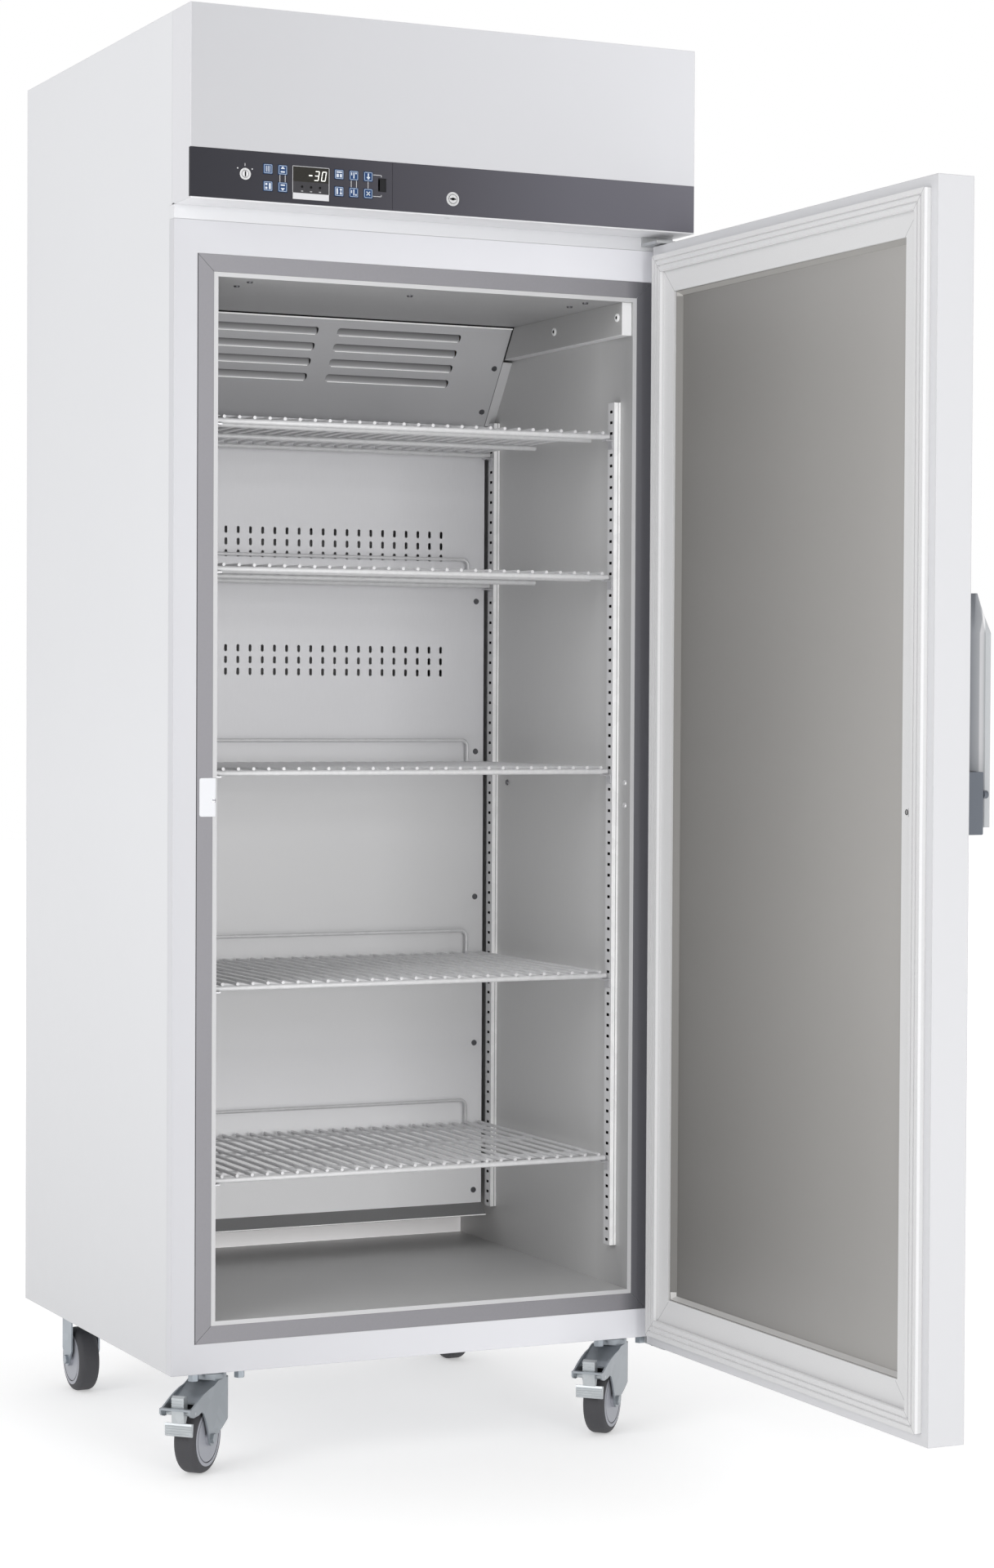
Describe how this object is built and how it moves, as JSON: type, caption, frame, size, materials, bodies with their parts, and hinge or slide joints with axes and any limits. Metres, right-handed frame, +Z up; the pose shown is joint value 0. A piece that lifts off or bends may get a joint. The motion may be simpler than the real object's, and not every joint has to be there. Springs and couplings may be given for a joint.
{
  "type": "laboratory freezer",
  "caption": "Upright cabinet freezer on castors with one hinged door, wire shelves on clips, a header with controls over the door and a cooling unit above the insulated box.",
  "frame": {"origin": "on the floor, at the middle of the cabinet's width, in the plane of the front frame's face", "axes": "+Z up, +Y from the front to the rear, +X to the right of someone who faces the front"},
  "size_m": [0.8429, 1.4085, 1.955],
  "materials": {
    "casing_paint": "semi-gloss white paint",
    "frame_paint": "semi-gloss white paint",
    "band_paint": "satin dark blue-grey",
    "strip_metal": "brushed",
    "liner_metal": "fine matt",
    "duct_metal": "fine matt",
    "trim_paint": "semi-gloss white paint",
    "bright_steel": "polished wire",
    "zinc": "zinc plated",
    "chrome": "polished",
    "door_paint": "semi-gloss white paint",
    "door_panel_grey": "satin grey",
    "gasket_white": "matt",
    "foam": "rigid foam",
    "handle_grey": "satin",
    "lock_slate": "satin",
    "display_black": "gloss",
    "button_blue": "satin",
    "wheel_rubber": "matt",
    "inlet_black": "matt",
    "fan_plastic": "matt",
    "motor_metal": "satin black",
    "copper": "dull copper",
    "compressor_black": "satin black"
  },
  "bodies": {
    "cabinet": {"outer_casing": "casing_paint", "insulation": "foam", "inner_liner": "liner_metal", "front_frame": "frame_paint", "gasket_strip": "strip_metal", "strike_plate": "bright_steel", "header_panel": "casing_paint", "control_band": "band_paint", "display_module": "display_black", "evaporator_cover": "duct_metal", "evaporator_coil": "duct_metal", "air_duct_panel": "duct_metal", "pilasters": "liner_metal", "side_rails": "liner_metal", "shelf_clips": "zinc", "hinge_brackets": "zinc", "castor_frames": "zinc", "screws_and_lock_rings": "chrome", "compressor": "compressor_black", "condenser_coil": "motor_metal", "refrigerant_pipes": "copper", "power_inlet": "inlet_black", "fan_motors": "motor_metal"},
    "door": {"door_skin": "door_paint", "door_foam": "foam", "door_inner_panel": "door_panel_grey", "door_gasket": "gasket_white", "lock_block": "lock_slate", "handle_grip": "handle_grey", "hinge_bushes": "zinc"},
    "shelf_1": {"shelf_1": "bright_steel"},
    "shelf_2": {"shelf_2": "bright_steel"},
    "shelf_3": {"shelf_3": "bright_steel"},
    "shelf_4": {"shelf_4": "bright_steel"},
    "shelf_5": {"shelf_5": "bright_steel"},
    "castor_left": {"castor_fork_left": "zinc"},
    "front_wheel_left": {"wheel_front_left": "wheel_rubber"},
    "pedal_left": {"brake_pedal_left": "zinc"},
    "rear_wheel_left": {"wheel_rear_left": "wheel_rubber"},
    "castor_right": {"castor_fork_right": "zinc"},
    "front_wheel_right": {"wheel_front_right": "wheel_rubber"},
    "pedal_right": {"brake_pedal_right": "zinc"},
    "rear_wheel_right": {"wheel_rear_right": "wheel_rubber"},
    "evaporator_fan": {"evaporator_fan": "fan_plastic"},
    "condenser_fan": {"condenser_fan": "fan_plastic"},
    "key_switch": {"key_switch_cylinder": "chrome"},
    "header_lock": {"header_lock_cylinder": "chrome"},
    "header_bolt": {"header_lock_bolt": "zinc"},
    "handle_knob": {"handle_lock_knob": "lock_slate"},
    "handle_bolt": {"handle_lock_bolt": "bright_steel"},
    "button_defrost": {"button_defrost": "button_blue"},
    "button_lamp": {"button_lamp": "button_blue"},
    "button_up": {"button_up": "button_blue"},
    "button_down": {"button_down": "button_blue"},
    "button_alarm_log": {"button_alarm_log": "button_blue"},
    "button_recorder": {"button_recorder": "button_blue"},
    "button_high_limit": {"button_high_limit": "button_blue"},
    "button_low_limit": {"button_low_limit": "button_blue"},
    "button_memory": {"button_memory": "button_blue"},
    "button_cancel": {"button_cancel": "button_blue"}
  },
  "joints": [
    {"name": "door_hinge", "type": "hinge", "parent": "cabinet", "child": "door", "pos_m": [0.3545, -0.03, 0.9], "axis": [0, 0, 1], "range_deg": [-90, 20]},
    {"name": "shelf_1_slide", "type": "slide", "parent": "cabinet", "child": "shelf_1", "axis": [0, -1, 0], "range_m": [0, 0.25]},
    {"name": "shelf_2_slide", "type": "slide", "parent": "cabinet", "child": "shelf_2", "axis": [0, -1, 0], "range_m": [0, 0.25]},
    {"name": "shelf_3_slide", "type": "slide", "parent": "cabinet", "child": "shelf_3", "axis": [0, -1, 0], "range_m": [0, 0.25]},
    {"name": "shelf_4_slide", "type": "slide", "parent": "cabinet", "child": "shelf_4", "axis": [0, -1, 0], "range_m": [0, 0.25]},
    {"name": "shelf_5_slide", "type": "slide", "parent": "cabinet", "child": "shelf_5", "axis": [0, -1, 0], "range_m": [0, 0.25]},
    {"name": "swivel_left", "type": "hinge", "parent": "cabinet", "child": "castor_left", "pos_m": [-0.306, 0.038, 0.12], "axis": [0, 0, 1], "continuous": true},
    {"name": "front_wheel_left_spin", "type": "hinge", "parent": "castor_left", "child": "front_wheel_left", "pos_m": [-0.33287, 0.01113, 0.0475], "axis": [-0.7071, 0.7071, 0], "continuous": true},
    {"name": "brake_pedal_left_press", "type": "hinge", "parent": "castor_left", "child": "pedal_left", "pos_m": [-0.37105, -0.02705, 0.091], "axis": [0.7071, -0.7071, 0], "range_deg": [0, 8]},
    {"name": "rear_wheel_left_spin", "type": "hinge", "parent": "cabinet", "child": "rear_wheel_left", "pos_m": [-0.306, 0.594, 0.0475], "axis": [1, 0, 0], "continuous": true},
    {"name": "swivel_right", "type": "hinge", "parent": "cabinet", "child": "castor_right", "pos_m": [0.306, 0.038, 0.12], "axis": [0, 0, 1], "continuous": true},
    {"name": "front_wheel_right_spin", "type": "hinge", "parent": "castor_right", "child": "front_wheel_right", "pos_m": [0.27913, 0.01113, 0.0475], "axis": [-0.7071, 0.7071, 0], "continuous": true},
    {"name": "brake_pedal_right_press", "type": "hinge", "parent": "castor_right", "child": "pedal_right", "pos_m": [0.24095, -0.02705, 0.091], "axis": [0.7071, -0.7071, 0], "range_deg": [0, 8]},
    {"name": "rear_wheel_right_spin", "type": "hinge", "parent": "cabinet", "child": "rear_wheel_right", "pos_m": [0.306, 0.594, 0.0475], "axis": [1, 0, 0], "continuous": true},
    {"name": "evaporator_fan_spin", "type": "hinge", "parent": "cabinet", "child": "evaporator_fan", "pos_m": [0, 0.4327, 1.54709], "axis": [0, -0.8141, -0.5807], "continuous": true},
    {"name": "condenser_fan_spin", "type": "hinge", "parent": "cabinet", "child": "condenser_fan", "pos_m": [-0.19, 0.131, 1.809], "axis": [0, -1, 0], "continuous": true},
    {"name": "key_switch_turn", "type": "hinge", "parent": "cabinet", "child": "key_switch", "pos_m": [-0.2987, -0.0565, 1.735], "axis": [0, -1, 0], "range_deg": [-40, 40]},
    {"name": "header_lock_turn", "type": "hinge", "parent": "cabinet", "child": "header_lock", "pos_m": [0.0022, -0.0565, 1.7225], "axis": [0, -1, 0], "range_deg": [0, 90]},
    {"name": "header_bolt_drop", "type": "slide", "parent": "cabinet", "child": "header_bolt", "axis": [0, 0, -1], "range_m": [0, 0.024]},
    {"name": "handle_knob_turn", "type": "hinge", "parent": "door", "child": "handle_knob", "pos_m": [0.4242, -0.7255, 0.928], "axis": [1, 0, 0], "range_deg": [0, 90]},
    {"name": "handle_bolt_slide", "type": "slide", "parent": "door", "child": "handle_bolt", "axis": [-1, 0, 0], "range_m": [0, 0.019]},
    {"name": "button_defrost_press", "type": "slide", "parent": "cabinet", "child": "button_defrost", "axis": [0, 1, 0], "range_m": [0, 0.0005], "stiffness_N_per_m": 400, "springref_m": -0.001},
    {"name": "button_lamp_press", "type": "slide", "parent": "cabinet", "child": "button_lamp", "axis": [0, 1, 0], "range_m": [0, 0.0005], "stiffness_N_per_m": 400, "springref_m": -0.001},
    {"name": "button_up_press", "type": "slide", "parent": "cabinet", "child": "button_up", "axis": [0, 1, 0], "range_m": [0, 0.0005], "stiffness_N_per_m": 400, "springref_m": -0.001},
    {"name": "button_down_press", "type": "slide", "parent": "cabinet", "child": "button_down", "axis": [0, 1, 0], "range_m": [0, 0.0005], "stiffness_N_per_m": 400, "springref_m": -0.001},
    {"name": "button_alarm_log_press", "type": "slide", "parent": "cabinet", "child": "button_alarm_log", "axis": [0, 1, 0], "range_m": [0, 0.0005], "stiffness_N_per_m": 400, "springref_m": -0.001},
    {"name": "button_recorder_press", "type": "slide", "parent": "cabinet", "child": "button_recorder", "axis": [0, 1, 0], "range_m": [0, 0.0005], "stiffness_N_per_m": 400, "springref_m": -0.001},
    {"name": "button_high_limit_press", "type": "slide", "parent": "cabinet", "child": "button_high_limit", "axis": [0, 1, 0], "range_m": [0, 0.0005], "stiffness_N_per_m": 400, "springref_m": -0.001},
    {"name": "button_low_limit_press", "type": "slide", "parent": "cabinet", "child": "button_low_limit", "axis": [0, 1, 0], "range_m": [0, 0.0005], "stiffness_N_per_m": 400, "springref_m": -0.001},
    {"name": "button_memory_press", "type": "slide", "parent": "cabinet", "child": "button_memory", "axis": [0, 1, 0], "range_m": [0, 0.0005], "stiffness_N_per_m": 400, "springref_m": -0.001},
    {"name": "button_cancel_press", "type": "slide", "parent": "cabinet", "child": "button_cancel", "axis": [0, 1, 0], "range_m": [0, 0.0005], "stiffness_N_per_m": 400, "springref_m": -0.001}
  ],
  "couplings": [
    {"joint": "header_lock_turn", "follows": "header_bolt_drop", "rad_per_m": 65.449},
    {"joint": "handle_knob_turn", "follows": "handle_bolt_slide", "rad_per_m": 82.673}
  ]
}
